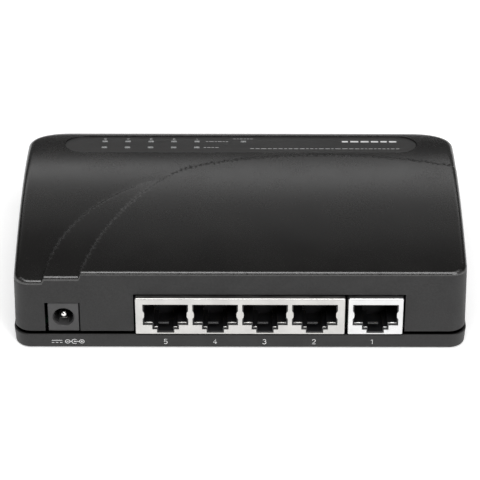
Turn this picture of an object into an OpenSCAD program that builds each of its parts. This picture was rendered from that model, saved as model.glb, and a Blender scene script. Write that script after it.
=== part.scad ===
// Five-port desktop network switch, port side towards -Y, ground at Z = 0.

/* [Case] */
// overall width across the base tray, mm
case_w = 128.2; // [125:0.2:132]
// overall depth of the base tray, mm
case_d = 76.6; // [75:0.2:79]
// height of the base tray wall above its underside, mm
tray_h = 4.55; // [4:0.05:5]
// height of the dark groove between tray and cover, mm
groove_h = 0.95; // [0.8:0.05:1.5]
// highest point of the cover above the ground, mm
crown_z = 31.0; // [29:0.1:33]
// wall thickness of the cover, mm
wall = 2.0; // [1.6:0.1:2.4]
// plan radius of the two corners on the port side, mm
r_rear = 5; // [4:0.5:6]
// plan radius of the two corners on the lamp side, mm
r_front = 13; // [10:0.5:14]
// radius of the rounded lip along the lamp side, mm
r_nose = 7; // [5:0.5:8]

/* [Steps in the cover] */
// dome radius of the raised main field, mm
dome_main_r = 165; // [160:1:190]
// dome radius of the middle field, mm
dome_mid_r = 141; // [138:1:150]
// dome radius of the outer field towards the ports, mm
dome_outer_r = 137; // [134:1:150]
// dome radius of the outer field towards the lamps, mm
dome_front_r = 100; // [90:1:110]
// drop of the outer crown below the main crown, mm
outer_drop = 0.6; // [0.5:0.1:0.8]

/* [Feet and label] */
// height the rubber feet stand out of the tray, mm
foot_h = 0.4; // [0.4:0.1:2]
// diameter of a rubber foot, mm
foot_dia = 10; // [8:0.5:11]

/* [Network ports] */
// spacing of the four ganged ports, mm
port_pitch = 13.97; // [13.9:0.01:14.1]
// X position of the single port, mm
single_x = 38.0; // [37.6:0.05:38.6]
// height of the jack shields, mm
jack_h = 12.35; // [11.6:0.05:12.8]
// depth of the jacks, mm
jack_d = 16; // [15:0.5:18]
// distance the shields stand out of the cover, mm
jack_proud = 1.1; // [0.6:0.1:1.5]
// rest slope of the contact wires, degrees
wire_slope = 10; // [8:0.5:11]

/* [Power socket] */
// X position of the power socket, mm
dc_x = -49.7; // [-51:0.1:-49.5]
// bore of the power socket, mm
dc_bore = 5.7; // [5.6:0.1:6.2]
// diameter of the centre pin, mm
dc_pin_dia = 2; // [1.6:0.1:2.5]

/* [Lamps] */
// spacing of the lamp windows, mm
lamp_pitch = 6.88; // [6.6:0.02:7.2]

/* [Hidden] */
$fn = 96;
fine = 0.01;
// arcs that meet smoothly cross by this much, so that no sliver is left between them
blend = 0.02;

base_z = foot_h;
tray_top = base_z + tray_h;
cover_z = tray_top + groove_h;
half_w = case_w / 2;
shield_y = -case_d / 2 - 0.4;
tray_rear = -case_d / 2 + 0.4;
tray_front = case_d / 2 + 0.4;
cover_rear = shield_y + jack_proud;
cover_front = tray_front - 0.3;
cover_half = half_w - 0.3;
draft = 0.022;

main_y = cover_rear + 42;
mid_y = main_y;
outer_y = cover_rear + 46;
outer_crown = crown_z - outer_drop;
mid_crown = outer_crown - 0.1;

// plan arcs that bound the main field
arc_low = [55.3, cover_rear - 28.8];
arc_low_r = 104.3;
arc_top = [24.3, cover_rear - 57.8];
arc_top_r = 112.1;
arc_bend_r = 24;
arc_bend = arcs_meet(arc_low, arc_low_r - arc_bend_r, arc_top, arc_top_r - arc_bend_r);

floor_t = 1.6;
board_t = 1.6;
board_z = tray_top - 0.9;
board_top = board_z + board_t;
board_rear = tray_rear + 3.7;
board_front = cover_front - 7;

jack_z = board_top;
gang_w = 3 * port_pitch + 17;
single_w = 15.5;
sheet = 0.3;
port_x = [single_x, 1.5 * port_pitch, 0.5 * port_pitch, -0.5 * port_pitch, -1.5 * port_pitch];
port_mid_z = jack_z + 6.8;

dc_w = 8.7;
dc_h = 9.65;
dc_len = 14;
dc_face = cover_rear + 0.5;
dc_z = jack_z + 4.8;

cut_l = -gang_w / 2 - 0.5;
cut_r = single_x + single_w / 2 + 0.6;

inlay_w = 104.6;
inlay_h = 12.2;
inlay_y = cover_rear + 62.8;
inlay_depth = 0.55;
inlay_t = 0.3;
lamp_row_speed = cover_rear + 60.4;
lamp_row_link = cover_rear + 64.9;
lamp_first = -40.6;
power_lamp_x = 0.8;
lamp_w = 1.9;
lamp_l = 1.3;

boss_spots = [[-56.3, -17], [56.3, -17], [-50, 31.5], [50, 31.5]];
screw_spots = [[-38, -14], [51.5, -3], [22, 26]];
foot_spots = [[-50, -27], [50, -27], [-48, 20.5], [48, 20.5]];

// ---- shared shapes ----

// upper crossing point of two circles in plan
function arcs_meet(a, ra, b, rb) =
    let (d = norm(b - a), t = (ra * ra - rb * rb + d * d) / (2 * d), u = (b - a) / d)
    a + t * u + sqrt(ra * ra - t * t) * (u[0] > 0 ? [-u[1], u[0]] : [u[1], -u[0]]);

// unit vector from an arc's centre towards the centre of the bend
function away(c) = (arc_bend - c) / norm(arc_bend - c);

// block with drafted walls; its corners are cones so every face stays smooth
module drafted_block(half, rear, front, rr, rf, z0, z1, slope) {
    h = z1 - z0;
    in = slope * h;
    for (s = [-1, 1]) {
        translate([s * (half - rr), rear + rr, z0])
            cylinder(h = h, r1 = rr, r2 = rr - in);
        translate([s * (half - rf), front - rf, z0])
            cylinder(h = h, r1 = rf, r2 = rf - in);
    }
    translate([0, front - rf, z0])
        rotate([90, 0, 0])
            linear_extrude(height = front - rf - rear - rr)
                polygon([[-half, 0], [half, 0], [half - in, h], [-half + in, h]]);
    translate([0, 0, z0])
        rotate([90, 0, 90])
            linear_extrude(height = 2 * (half - rr), center = true)
                polygon([[rear, 0], [0, 0], [0, h], [rear + in, h]]);
    translate([0, 0, z0])
        rotate([90, 0, 90])
            linear_extrude(height = 2 * (half - rf), center = true)
                polygon([[0, 0], [front, 0], [front - in, h], [0, h]]);
}

// side profile of one dome field, Y to the right and Z up
module dome_profile(r, yc, crown, inset) {
    translate([yc, crown - r])
        circle(r = r - inset, $fn = 180);
}

// side profile of the outer field: flatter towards the ports than towards the lamps
module outer_profile(inset) {
    intersection() {
        dome_profile(dome_outer_r, outer_y, outer_crown, inset);
        union() {
            translate([outer_y - 90, -10])
                square([90, 60]);
            dome_profile(dome_front_r, outer_y, outer_crown, inset - blend);
        }
        nose_profile(inset);
    }
}

// side profile of the rounded lip along the lamp side
module nose_profile(inset) {
    cy = cover_front - r_nose - draft * 12;
    cz = outer_crown - dome_front_r
        + sqrt(pow(dome_front_r - r_nose, 2) - pow(cy - outer_y, 2));
    touch_y = outer_y + (cy - outer_y) * dome_front_r / (dome_front_r - r_nose);
    translate([-100, -10])
        square([100 + touch_y, 60]);
    translate([-100, -10])
        square([200, 10 + cz]);
    translate([cy, cz])
        circle(r = r_nose + blend - inset);
}

module across() {
    rotate([90, 0, 90])
        linear_extrude(height = case_w + 10, center = true)
            children();
}

// plan region of the middle field
module mid_region(inset) {
    translate([-0.4, cover_rear - 9.1, 0])
        cylinder(h = 60, r = 55.5 - inset);
}

// plan region of the main field: two large arcs that meet in a smaller one
module main_region(inset) {
    difference() {
        intersection() {
            translate([arc_low[0], arc_low[1], 0])
                cylinder(h = 60, r = arc_low_r - inset, $fn = 180);
            translate([arc_top[0], arc_top[1], 0])
                cylinder(h = 60, r = arc_top_r - inset, $fn = 180);
        }
        linear_extrude(height = 60)
            polygon([arc_bend, arc_bend + 60 * away(arc_low), arc_bend + 60 * away(arc_top)]);
    }
    translate([arc_bend[0], arc_bend[1], 0])
        cylinder(h = 60, r = arc_bend_r + blend - inset);
}

// whole cover as a solid, every face moved inwards by inset
module cover_volume(inset, z0) {
    intersection() {
        drafted_block(cover_half - inset, cover_rear + inset, cover_front - inset,
            r_rear - inset, r_front - inset, z0, crown_z + 1, draft);
        union() {
            across()
                outer_profile(inset);
            intersection() {
                across()
                    dome_profile(dome_mid_r, mid_y, mid_crown, inset);
                mid_region(inset);
            }
            intersection() {
                across()
                    dome_profile(dome_main_r, main_y, crown_z, inset);
                main_region(inset);
            }
        }
    }
}

// upright stadium at the lamp inlay, grown by extra
module inlay_stadium(extra) {
    r = inlay_h / 2 + extra;
    for (s = [-1, 1])
        translate([s * (inlay_w - inlay_h) / 2, inlay_y, 0])
            cylinder(h = 60, r = r);
    translate([-(inlay_w - inlay_h) / 2, inlay_y - r, 0])
        cube([inlay_w - inlay_h, 2 * r, 60]);
}

// everything lying above a surface a little below the outer dome
module above_dome(depth) {
    difference() {
        translate([-half_w, 0, 15])
            cube([case_w, 45, 30]);
        across()
            dome_profile(dome_front_r, outer_y, outer_crown, depth);
    }
}

// a solid placed at each lamp window
module at_lamps() {
    for (i = [0 : 4]) {
        translate([lamp_first + i * lamp_pitch, lamp_row_speed, 0])
            children();
        translate([lamp_first + i * lamp_pitch, lamp_row_link, 0])
            children();
    }
    translate([power_lamp_x, lamp_row_link, 0])
        children();
}

module lamp_prism(extra) {
    translate([-lamp_w / 2 - extra, -lamp_l / 2 - extra, 0])
        cube([lamp_w + 2 * extra, lamp_l + 2 * extra, 60]);
}

// opening of a network port seen from the port side, centred on X
module plug_outline(extra) {
    translate([-6.4 - extra, -3.55 - extra])
        square([12.8 + 2 * extra, 7.1 + 2 * extra]);
}

// stepped notch under the opening that takes the plug's latch
module latch_outline(extra) {
    translate([-3.75 - extra, -5.05 - extra])
        square([7.5 + 2 * extra, 3]);
    translate([-2.45 - extra, -6.2 - extra])
        square([4.9 + 2 * extra, 3]);
}

// ---- case ----

module top_cover() {
    color([0.09, 0.09, 0.09]) {
        difference() {
            cover_volume(0, cover_z);
            cover_volume(wall, cover_z - 1);
            translate([cut_l, cover_rear - 2, cover_z - 1])
                cube([cut_r - cut_l, wall + 4, jack_z + jack_h + 0.5 - cover_z + 1]);
            translate([dc_x - 5.2, cover_rear - 2, cover_z - 1])
                cube([9.9, wall + 4, jack_z + dc_h + 0.3 - cover_z + 1]);
            intersection() {
                inlay_stadium(0.12);
                above_dome(inlay_depth);
            }
            at_lamps()
                translate([0, 0, -12])
                    lamp_prism(0.15);
        }
        for (p = boss_spots)
            difference() {
                intersection() {
                    translate([p[0], p[1], cover_z + 0.4])
                        cylinder(h = 30, d = 6);
                    cover_volume(wall - fine, cover_z);
                }
                translate([p[0], p[1], cover_z])
                    cylinder(h = 9, d = 2.5);
            }
    }
}

// ring that stands inside the cover and closes the groove
module tray_lip() {
    difference() {
        drafted_block(cover_half - wall - 0.35, cover_rear + wall + 0.35,
            cover_front - wall - 0.35, r_rear - wall - 0.3, r_front - wall - 0.3,
            base_z + floor_t, cover_z + 2, draft);
        drafted_block(cover_half - wall - 1.55, cover_rear + wall + 1.55,
            cover_front - wall - 1.55, r_rear - wall - 1.5, r_front - wall - 1.5,
            base_z + floor_t - 1, cover_z + 3, draft);
        translate([-57, cover_rear - 1, board_z])
            cube([57 + cut_r, 8, 20]);
    }
}

module base_tray() {
    color([0.1, 0.1, 0.1])
        difference() {
            union() {
                difference() {
                    union() {
                        drafted_block(half_w - 0.3, tray_rear + 0.3, tray_front - 0.3,
                            r_rear - 0.3, r_front - 0.3, base_z + 0.55, tray_top, -0.075);
                        drafted_block(half_w - 0.85, tray_rear + 0.85, tray_front - 0.85,
                            r_rear - 0.85, r_front - 0.85, base_z, base_z + 0.55, -1);
                    }
                    drafted_block(half_w - 2.6, tray_rear + 2.6, tray_front - 2.6,
                        r_rear - 2.4, r_front - 2.4, base_z + floor_t, tray_top + 1, 0);
                }
                tray_lip();
                for (p = screw_spots)
                    translate([p[0], p[1], base_z + 1])
                        cylinder(h = board_z - base_z - 1, d = 5.5);
                for (p = boss_spots)
                    translate([p[0], p[1], base_z + 1])
                        cylinder(h = cover_z - base_z - 1, d = 6.4);
            }
            for (p = screw_spots)
                translate([p[0], p[1], base_z + 0.6])
                    cylinder(h = 10, d = 2.2);
            for (p = boss_spots) {
                translate([p[0], p[1], base_z - 1])
                    cylinder(h = 3.4, d = 5.8);
                translate([p[0], p[1], base_z])
                    cylinder(h = 10, d = 3.2);
            }
            for (p = foot_spots)
                translate([p[0], p[1], base_z - 1])
                    cylinder(h = 1.4, d = foot_dia + 0.4);
            translate([-25.2, -15.2, base_z - 1])
                cube([50.4, 26.4, 1.2]);
        }
}

module rubber_feet() {
    color([0.05, 0.05, 0.05])
        for (p = foot_spots)
            translate([p[0], p[1], 0]) {
                translate([0, 0, 0.4])
                    cylinder(h = foot_h, d = foot_dia);
                cylinder(h = 0.4, d1 = foot_dia - 0.8, d2 = foot_dia);
            }
}

// one self-tapping screw with a cross recess, head at the bottom
module screw_shape(head_d, head_h, shank_d, len) {
    difference() {
        cylinder(h = head_h, d = head_d);
        for (a = [0, 90])
            rotate([0, 0, a])
                translate([-head_d * 0.3, -0.35, -1])
                    cube([head_d * 0.6, 0.7, 1 + head_h * 0.6]);
    }
    cylinder(h = head_h * 0.9, d = head_d * 0.2);
    translate([0, 0, head_h - fine])
        cylinder(h = len - 1, d = shank_d);
    translate([0, 0, head_h + len - 1 - 2 * fine])
        cylinder(h = 1, d1 = shank_d, d2 = 0.6);
}

module case_screws() {
    color([0.75, 0.75, 0.77])
        for (p = boss_spots)
            translate([p[0], p[1], base_z + 0.5])
                screw_shape(5.2, 1.9, 2.4, 9);
}

module board_screws() {
    color([0.75, 0.75, 0.77])
        for (p = screw_spots)
            translate([p[0], p[1], board_top + 1.65])
                rotate([180, 0, 0])
                    screw_shape(5, 1.6, 2.1, 4.2);
}

module rating_label() {
    color([0.85, 0.85, 0.85])
        translate([-25, -15, base_z + 0.05])
            cube([50, 26, 0.15]);
}

// ---- lamps and inlay ----

module lamp_inlay() {
    color([0.16, 0.16, 0.17])
        difference() {
            intersection() {
                inlay_stadium(0);
                above_dome(inlay_depth - 0.02);
                across()
                    dome_profile(dome_front_r, outer_y, outer_crown,
                        inlay_depth - 0.02 - inlay_t);
            }
            at_lamps()
                lamp_prism(0.05);
        }
}

// clear rods that carry the light up to the windows, joined by one bar per row
module light_pipes() {
    color([0.9, 0.92, 0.95, 0.6]) {
        intersection() {
            at_lamps()
                translate([0, 0, board_top + 1.2])
                    lamp_prism(0);
            across()
                dome_profile(dome_front_r, outer_y, outer_crown,
                    inlay_depth - 0.04 - inlay_t);
        }
        for (y = [lamp_row_speed, lamp_row_link])
            translate([lamp_first - 1, y - 0.5, board_top + 6])
                cube([power_lamp_x - lamp_first + 2, 1, 1.6]);
        for (x = [lamp_first, power_lamp_x])
            translate([x - 0.8, lamp_row_speed, board_top + 6])
                cube([1.6, lamp_row_link - lamp_row_speed, 1.6]);
    }
}

module status_lamps() {
    color([0.85, 0.9, 0.8])
        at_lamps()
            translate([0, 0, board_top]) {
                translate([-1, -0.6, 0])
                    cube([2, 1.2, 0.4]);
                translate([-0.6, -0.6, 0.4])
                    cube([1.2, 1.2, 0.4]);
            }
}

// ---- circuit board ----

module board_holes() {
    for (p = screw_spots)
        translate([p[0], p[1], 0])
            cylinder(h = 20, d = 3);
    for (x = port_x)
        for (i = [0 : 7])
            translate([x + (i - 3.5) * 1.016, terminal_y(i), 0])
                cylinder(h = 20, d = 0.8);
    for (t = dc_terminals())
        translate([dc_x + t[0], dc_face + t[1], 0])
            cylinder(h = 20, d = 2.2);
    for (c = capacitor_spots())
        for (s = [-1, 1])
            translate([c[0] + s * c[3], c[1], 0])
                cylinder(h = 20, d = 0.9);
}

function terminal_y(i) = shield_y + 11.4 + 2.54 * (i % 2);
function dc_terminals() = [[0, 13], [0, 7.2], [-3, 10]];
// x, y, diameter, half lead spacing, height of each upright capacitor
function capacitor_spots() = [[-49, -7, 8, 1.75, 11.5], [-36.5, -1, 6.3, 1.25, 11], [-27, 12, 5, 1, 9]];

module circuit_board() {
    color([0.05, 0.3, 0.16])
        difference() {
            translate([-56.4, board_rear, board_z])
                cube([112.8, board_front - board_rear, board_t]);
            for (p = boss_spots)
                translate([p[0], p[1], 0])
                    cylinder(h = 20, d = 7.4);
            for (s = [-1, 1])
                translate([s * 56.4, board_front, 0])
                    rotate([0, 0, 45])
                        cube([14, 14, 30], center = true);
            board_holes();
        }
}

module switch_chip() {
    color([0.07, 0.07, 0.07])
        translate([-8, -7, board_top + 0.1])
            difference() {
                cube([20, 14, 1.5]);
                translate([1.4, 1.4, 1.35])
                    cylinder(h = 1, d = 1.2);
            }
}

// one flat gull-wing lead that leaves a package towards +X
module gull_lead(w, drop) {
    translate([0, -w / 2, drop - 0.15])
        cube([0.55, w, 0.15]);
    translate([0.4, -w / 2, 0])
        cube([0.15, w, drop]);
    translate([0.4, -w / 2, 0])
        cube([0.65, w, 0.15]);
}

module switch_chip_leads() {
    color([0.8, 0.8, 0.82])
        translate([2, 0, board_top]) {
            for (i = [0 : 25])
                for (s = [-1, 1])
                    translate([(i - 12.5) * 0.72, s * 7, 0])
                        rotate([0, 0, s * 90])
                            gull_lead(0.26, 0.8);
            for (i = [0 : 17])
                for (s = [-1, 1])
                    translate([s * 10, (i - 8.5) * 0.72, 0])
                        rotate([0, 0, s * 90 - 90])
                            gull_lead(0.26, 0.8);
        }
}

module four_port_transformer() {
    color([0.08, 0.08, 0.08])
        translate([-13.5, -20.6, board_top + 0.25])
            cube([27, 9.6, 5.6]);
}

module single_port_transformer() {
    color([0.08, 0.08, 0.08])
        translate([single_x - 6.4, -20.6, board_top + 0.25])
            cube([12.8, 9.6, 5.6]);
}

module transformer_leads() {
    color([0.8, 0.8, 0.82])
        for (s = [-1, 1]) {
            for (i = [0 : 19])
                translate([(i - 9.5) * 1.27, -15.8 + s * 4.8, board_top])
                    rotate([0, 0, s * 90])
                        gull_lead(0.45, 1.4);
            for (i = [0 : 7])
                translate([single_x + (i - 3.5) * 1.27, -15.8 + s * 4.8, board_top])
                    rotate([0, 0, s * 90])
                        gull_lead(0.45, 1.4);
        }
}

module crystal() {
    color([0.8, 0.8, 0.82])
        translate([21, 6, board_top]) {
            for (s = [-1, 1])
                translate([s * 3.1, 0, 0])
                    cylinder(h = 0.5, d = 4.8);
            translate([-3.1, -2.4, 0])
                cube([6.2, 4.8, 0.5]);
            for (s = [-1, 1])
                translate([s * 3.1, 0, 0.4])
                    cylinder(h = 3, d = 3.8);
            translate([-3.1, -1.9, 0.4])
                cube([6.2, 3.8, 3]);
        }
}

module electrolytic_capacitors() {
    color([0.1, 0.12, 0.2])
        for (c = capacitor_spots())
            translate([c[0], c[1], board_top]) {
                cylinder(h = 1.2, d = c[2]);
                translate([0, 0, 1.1])
                    cylinder(h = 0.6, d = c[2] - 0.6);
                translate([0, 0, 1.6])
                    cylinder(h = c[4] - 1.6, d = c[2]);
                for (s = [-1, 1])
                    translate([s * c[3], 0, -board_t - 1])
                        cylinder(h = board_t + 1.5, d = 0.6);
            }
}

module power_inductor() {
    color([0.15, 0.15, 0.15])
        translate([-38, 11, board_top])
            difference() {
                translate([-3.6, -3.6, 0])
                    cube([7.2, 7.2, 4]);
                translate([0, 0, 3.6])
                    difference() {
                        cylinder(h = 1, d = 6.2);
                        translate([0, 0, -1])
                            cylinder(h = 3, d = 4.6);
                    }
            }
}

module voltage_regulator() {
    color([0.1, 0.1, 0.1])
        translate([-49, 6, board_top]) {
            translate([-3.3, -3, 0.1])
                cube([6.6, 6.1, 2.2]);
            translate([-2.7, 3, 0.1])
                cube([5.4, 1.2, 0.5]);
            for (x = [-2.3, 2.3])
                translate([x - 0.4, -5.4, 0])
                    cube([0.8, 2.6, 0.5]);
        }
}

module protection_diode() {
    color([0.12, 0.12, 0.12])
        translate([-43, -19.5, board_top]) {
            translate([-2.2, -1.3, 0.2])
                cube([4.4, 2.6, 2]);
            for (s = [-1, 1])
                translate([s * 2.3 - 0.4, -0.75, 0])
                    cube([0.8, 1.5, 1]);
        }
}

// one chip part: dark or tan body with two end caps, lying along X
module chip_part(l, w, h) {
    translate([-l / 2, -w / 2, board_top])
        cube([l, w, h]);
}

module chip_capacitors() {
    color([0.72, 0.6, 0.42]) {
        for (i = [0 : 5])
            translate([-6 + i * 3.2, -9.2, 0])
                chip_part(1.6, 0.8, 0.8);
        for (i = [0 : 3])
            translate([15.5, -5 + i * 2.6, 0])
                chip_part(1.6, 0.8, 0.8);
        for (i = [0 : 4])
            translate([30 + i * 3.4, -8.6, 0])
                chip_part(2, 1.25, 0.9);
        for (i = [0 : 2])
            translate([-30 + i * 4, 4.5, 0])
                chip_part(3.2, 1.6, 1.1);
    }
}

module chip_resistors() {
    color([0.12, 0.12, 0.14]) {
        for (i = [0 : 9])
            translate([lamp_first + i * 3.5, 17.5, 0])
                chip_part(1.6, 0.8, 0.5);
        for (i = [0 : 7])
            translate([-10 + i * 3, 10.4, 0])
                chip_part(1.6, 0.8, 0.5);
        for (i = [0 : 4])
            translate([31 + i * 3, 3, 0])
                chip_part(1.6, 0.8, 0.5);
    }
}

// ---- network ports ----

module shield_box(x, w) {
    translate([x - w / 2, shield_y, jack_z])
        cube([w, jack_d, jack_h]);
}

module shield_shell(x, w) {
    difference() {
        shield_box(x, w);
        translate([x - w / 2 + sheet, shield_y + sheet, jack_z - 1])
            cube([w - 2 * sheet, jack_d - 2 * sheet, jack_h + 1 - sheet]);
    }
}

module port_cut(x, extra, plug_d, latch_d) {
    translate([x, shield_y + plug_d, port_mid_z])
        rotate([90, 0, 0])
            linear_extrude(height = plug_d + 1)
                plug_outline(extra);
    translate([x, shield_y + latch_d, port_mid_z])
        rotate([90, 0, 0])
            linear_extrude(height = latch_d + 1)
                latch_outline(extra);
}

module four_port_shield() {
    color([0.8, 0.79, 0.77])
        difference() {
            shield_shell(0, gang_w);
            for (i = [1 : 4])
                port_cut(port_x[i], 0, 1, 1);
        }
}

module single_port_shield() {
    color([0.85, 0.85, 0.84])
        difference() {
            shield_shell(single_x, single_w);
            port_cut(port_x[0], 0, 1, 1);
        }
}

// plastic insert of one shield with a plug cavity for each port
module housing_block(x, w, spots) {
    difference() {
        translate([x - w / 2 + sheet + 0.05, shield_y + sheet + 0.05, jack_z + 0.05])
            cube([w - 2 * sheet - 0.1, jack_d - 2 * sheet - 0.1, jack_h - sheet - 0.1]);
        for (px = spots) {
            port_cut(px, -0.35, 13, 9);
            for (i = [0 : 7])
                translate([px + (i - 3.5) * 1.016 - 0.4, shield_y + 0.9, port_mid_z])
                    cube([0.8, 12, 4.3]);
            for (i = [0 : 7])
                translate([px + (i - 3.5) * 1.016, terminal_y(i), 0])
                    cylinder(h = jack_z + 3.1, d = 0.7);
        }
    }
}

module four_port_housing() {
    color([0.06, 0.06, 0.06])
        housing_block(0, gang_w, [for (i = [1 : 4]) port_x[i]]);
}

module single_port_housing() {
    color([0.06, 0.06, 0.06])
        housing_block(single_x, single_w, [port_x[0]]);
}

// eight sprung wires that hang from the front of a plug cavity
module port_contacts(n) {
    color([0.86, 0.7, 0.32])
        for (i = [0 : 7])
            translate([port_x[n - 1] + (i - 3.5) * 1.016, shield_y + 1.6, port_mid_z + 3.7])
                rotate([-90 - wire_slope, 0, 0]) {
                    cylinder(h = 9.6, d = 0.4, $fn = 32);
                    sphere(d = 0.4, $fn = 32);
                }
}

module port_1_contacts() {
    port_contacts(1);
}

module port_2_contacts() {
    port_contacts(2);
}

module port_3_contacts() {
    port_contacts(3);
}

module port_4_contacts() {
    port_contacts(4);
}

module port_5_contacts() {
    port_contacts(5);
}

module port_terminals() {
    color([0.86, 0.7, 0.32])
        for (x = port_x)
            for (i = [0 : 7])
                translate([x + (i - 3.5) * 1.016, terminal_y(i), board_z - 1.1])
                    cylinder(h = board_t + 3.9, d = 0.5);
}

// ---- power socket ----

module power_socket_body() {
    color([0.11, 0.11, 0.11])
        difference() {
            union() {
                translate([dc_x - dc_w / 2, dc_face, jack_z])
                    cube([dc_w, 3.4, dc_h]);
                translate([dc_x - dc_w / 2 + 0.3, dc_face + 3.3, jack_z])
                    cube([dc_w - 0.6, dc_len - 3.3, dc_h - 3.2]);
                translate([dc_x, dc_face + 3.3, dc_z])
                    rotate([-90, 0, 0])
                        cylinder(h = dc_len - 3.3, d = 8);
            }
            translate([dc_x, dc_face - 1, dc_z])
                rotate([-90, 0, 0])
                    cylinder(h = 11, d = dc_bore);
            translate([dc_x, dc_face - fine, dc_z])
                rotate([-90, 0, 0])
                    cylinder(h = 0.4, d1 = dc_bore + 0.5, d2 = dc_bore);
            translate([dc_x - 1.5, dc_face + 2, jack_z + 0.8])
                cube([3, 9, 3]);
            translate([dc_x, dc_face + 5, dc_z])
                rotate([-90, 0, 0])
                    cylinder(h = 12, d = dc_pin_dia);
            for (t = dc_terminals())
                translate([dc_x + t[0], dc_face + t[1], jack_z - 1])
                    cylinder(h = 1.8, d = 2);
        }
}

module power_socket_pin() {
    color([0.85, 0.85, 0.87])
        translate([dc_x, dc_face + 0.9, dc_z])
            rotate([-90, 0, 0]) {
                translate([0, 0, dc_pin_dia / 2])
                    cylinder(h = dc_len - 1 - dc_pin_dia / 2, d = dc_pin_dia);
                translate([0, 0, dc_pin_dia / 2])
                    sphere(d = dc_pin_dia);
            }
}

// leaf under the bore that presses on the plug sleeve
module power_socket_spring() {
    color([0.82, 0.82, 0.84])
        translate([dc_x, dc_face + 10.4, jack_z + 1.25])
            rotate([-90, 0, 180])
                rotate([9, 0, 0])
                    translate([-1, -0.15, 0])
                        cube([2, 0.3, 7.4]);
}

module power_socket_terminals() {
    color([0.82, 0.82, 0.84])
        for (t = dc_terminals())
            translate([dc_x + t[0], dc_face + t[1], board_z - 1])
                cylinder(h = board_t + 1.6, d = 1.6);
}

top_cover();
base_tray();
lamp_inlay();
light_pipes();
rubber_feet();
case_screws();
rating_label();
circuit_board();
board_screws();
four_port_shield();
four_port_housing();
single_port_shield();
single_port_housing();
port_1_contacts();
port_2_contacts();
port_3_contacts();
port_4_contacts();
port_5_contacts();
port_terminals();
power_socket_body();
power_socket_pin();
power_socket_spring();
power_socket_terminals();
switch_chip();
switch_chip_leads();
four_port_transformer();
single_port_transformer();
transformer_leads();
crystal();
electrolytic_capacitors();
power_inductor();
voltage_regulator();
protection_diode();
chip_capacitors();
chip_resistors();
status_lamps();
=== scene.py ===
import math
import random

import bmesh
import bpy
from mathutils import Matrix, Vector
from mathutils.geometry import delaunay_2d_cdt


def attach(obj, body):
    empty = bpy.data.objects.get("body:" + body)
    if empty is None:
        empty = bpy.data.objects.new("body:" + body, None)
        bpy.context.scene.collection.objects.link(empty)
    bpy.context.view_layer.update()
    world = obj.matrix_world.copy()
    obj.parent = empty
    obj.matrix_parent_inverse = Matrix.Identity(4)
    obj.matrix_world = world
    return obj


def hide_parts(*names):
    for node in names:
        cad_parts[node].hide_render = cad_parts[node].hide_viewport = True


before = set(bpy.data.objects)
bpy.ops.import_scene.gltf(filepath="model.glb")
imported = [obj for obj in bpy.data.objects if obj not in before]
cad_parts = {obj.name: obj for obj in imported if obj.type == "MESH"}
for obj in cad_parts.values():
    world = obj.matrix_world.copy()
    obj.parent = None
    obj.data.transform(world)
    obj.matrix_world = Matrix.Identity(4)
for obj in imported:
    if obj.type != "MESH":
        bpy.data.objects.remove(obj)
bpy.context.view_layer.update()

# ---- sizes in millimetres, in the frame of the CAD part ----

MM = 0.001
HALF_W = 64.1
COVER_HALF = 63.8
COVER_REAR = -37.6
COVER_FRONT = 38.4
TRAY_REAR = -37.9
TRAY_FRONT = 38.7
COVER_Z = 5.9
DRAFT = 0.022
TRAY_LEAN = 0.0714
TRAY_RIM = 4.7
WALL = 2.0
R_REAR = 5.0
R_FRONT = 13.0
R_NOSE = 7.0

SHIELD_Y = -38.7
JACK_Z = 5.65
JACK_H = 12.35
JACK_D = 16.0
GANG_W = 58.91
SINGLE_W = 15.5
SHEET = 0.3
PORT_X = [38.0, 20.955, 6.985, -6.985, -20.955]
PORT_Z = 12.45

DC_X = -49.7
DC_Y = -37.1
DC_Z = 10.45

INLAY_W = 104.6
INLAY_H = 12.2
INLAY_Y = 25.2
ROW_SPEED = 22.8
ROW_LINK = 27.3
LAMP_X = [-40.6 + 6.88 * i for i in range(5)]
POWER_LAMP_X = 0.8

BOSSES = [(-56.3, -17), (56.3, -17), (-50, 31.5), (50, 31.5)]
FEET = [(-50, -27), (50, -27), (-48, 20.5), (48, 20.5)]
SCREW_POSTS = [(-38, -14), (51.5, -3), (22, 26)]


# ---- mesh helpers ----


def smooth_step(t):
    t = min(max(t, 0.0), 1.0)
    return t * t * (3 - 2 * t)


def add_object(name, data):
    obj = bpy.data.objects.new(name, data)
    bpy.context.scene.collection.objects.link(obj)
    return obj


def new_object(name, verts, faces):
    mesh = bpy.data.meshes.new(name)
    mesh.from_pydata([(x * MM, y * MM, z * MM) for x, y, z in verts], [], faces)
    mesh.update()
    return add_object(name, mesh)


def from_bmesh(name, bm, materials=()):
    mesh = bpy.data.meshes.new(name)
    bm.to_mesh(mesh)
    bm.free()
    for m in materials:
        mesh.materials.append(m)
    return add_object(name, mesh)


def apply_modifiers(obj):
    """Replaces the object's mesh by what its modifiers make of it."""
    bpy.context.view_layer.update()
    graph = bpy.context.evaluated_depsgraph_get()
    mesh = bpy.data.meshes.new_from_object(obj.evaluated_get(graph))
    obj.modifiers.clear()
    obj.data = mesh
    return obj


def boolean(obj, tool, operation="DIFFERENCE"):
    m = obj.modifiers.new("cut", "BOOLEAN")
    m.solver = "MANIFOLD"
    m.operation = operation
    m.object = tool
    apply_modifiers(obj)
    bpy.data.objects.remove(tool)
    return obj


def join(name, objects):
    bm = bmesh.new()
    for o in objects:
        bm.from_mesh(o.data)
        bpy.data.objects.remove(o)
    return from_bmesh(name, bm)


def shade(obj, angle=35.0, weighted=True):
    """Smooth shading that keeps edges sharper than angle."""
    mesh = obj.data
    for p in mesh.polygons:
        p.use_smooth = True
    mesh.set_sharp_from_angle(angle=math.radians(angle))
    if weighted:
        m = obj.modifiers.new("normals", "WEIGHTED_NORMAL")
        m.keep_sharp = True
        m.weight = 100
        apply_modifiers(obj)
    return obj


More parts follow.
